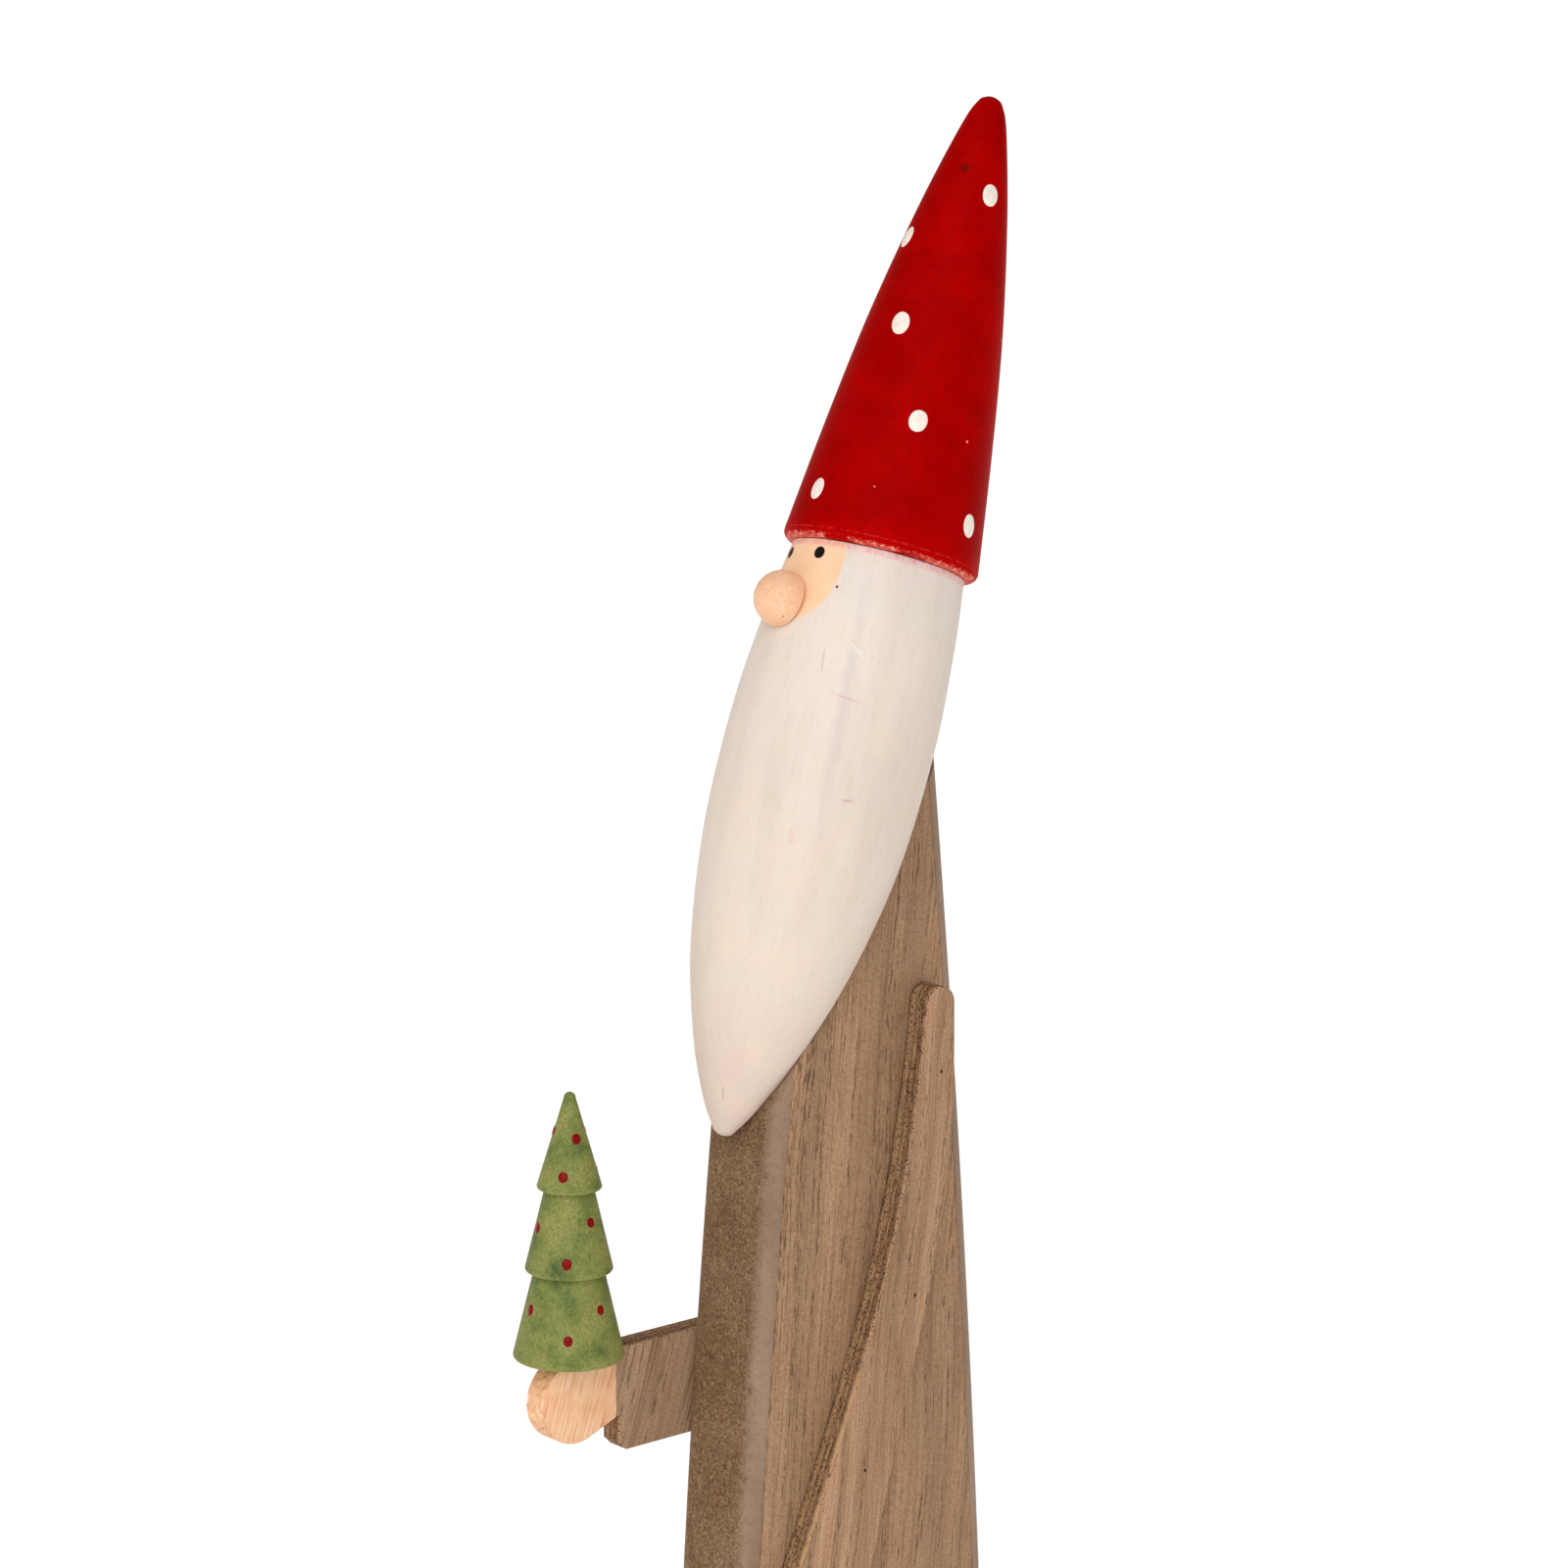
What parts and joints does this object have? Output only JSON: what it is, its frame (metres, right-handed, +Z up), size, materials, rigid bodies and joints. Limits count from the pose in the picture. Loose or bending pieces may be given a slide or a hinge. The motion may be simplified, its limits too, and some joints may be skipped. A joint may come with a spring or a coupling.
{
  "type": "tomte gnome figurine",
  "caption": "Tall wooden gnome figure: turned head with a pointed hat and long beard on a sawn slab body with two board arms, holding a small tree.",
  "frame": {"origin": "centre of the base plate's underside", "axes": "+Z up, the figure faces -Y, the figure's left hand is on +X"},
  "size_m": [0.09, 0.1899, 0.7504],
  "materials": {
    "mdf": "grey-brown stained fibreboard, sawn and sanded, long edges rounded and rubbed smooth",
    "veneer": "grey-brown stained open-pored veneer, matt",
    "base_mdf": "grey-brown stained fibreboard, matt",
    "plywood": "grey-brown stained plywood with sanded edges; the hand at the end is painted skin colour",
    "beard_paint": "turned softwood under thin off-white satin paint, with a painted face patch and black eyes",
    "hat_paint": "turned wood under deep red satin paint with raised white dots, rubbed at the rim",
    "skin_paint": "turned wood ball under thin skin-coloured paint",
    "tree_paint": "turned wood under thin mottled green paint with raised red dots",
    "beech": "plain beech dowel, bare",
    "zinc_steel": "zinc-plated steel"
  },
  "bodies": {
    "root": {"body_core": "mdf", "body_veneer_left": "veneer", "body_veneer_right": "veneer", "base_plate": "base_mdf", "head_beard": "beard_paint", "hat": "hat_paint", "nose": "skin_paint", "left_arm": "plywood", "right_arm": "plywood", "tree": "tree_paint", "hat_dowel": "beech", "nose_dowel": "beech", "tree_dowel": "beech", "head_dowel_lower": "beech", "head_dowel_upper": "beech", "base_screw_front": "zinc_steel", "base_screw_rear": "zinc_steel", "left_arm_brad_1": "zinc_steel", "left_arm_brad_2": "zinc_steel", "left_arm_brad_3": "zinc_steel", "right_arm_brad_1": "zinc_steel", "right_arm_brad_2": "zinc_steel", "right_arm_brad_3": "zinc_steel"}
  },
  "joints": []
}
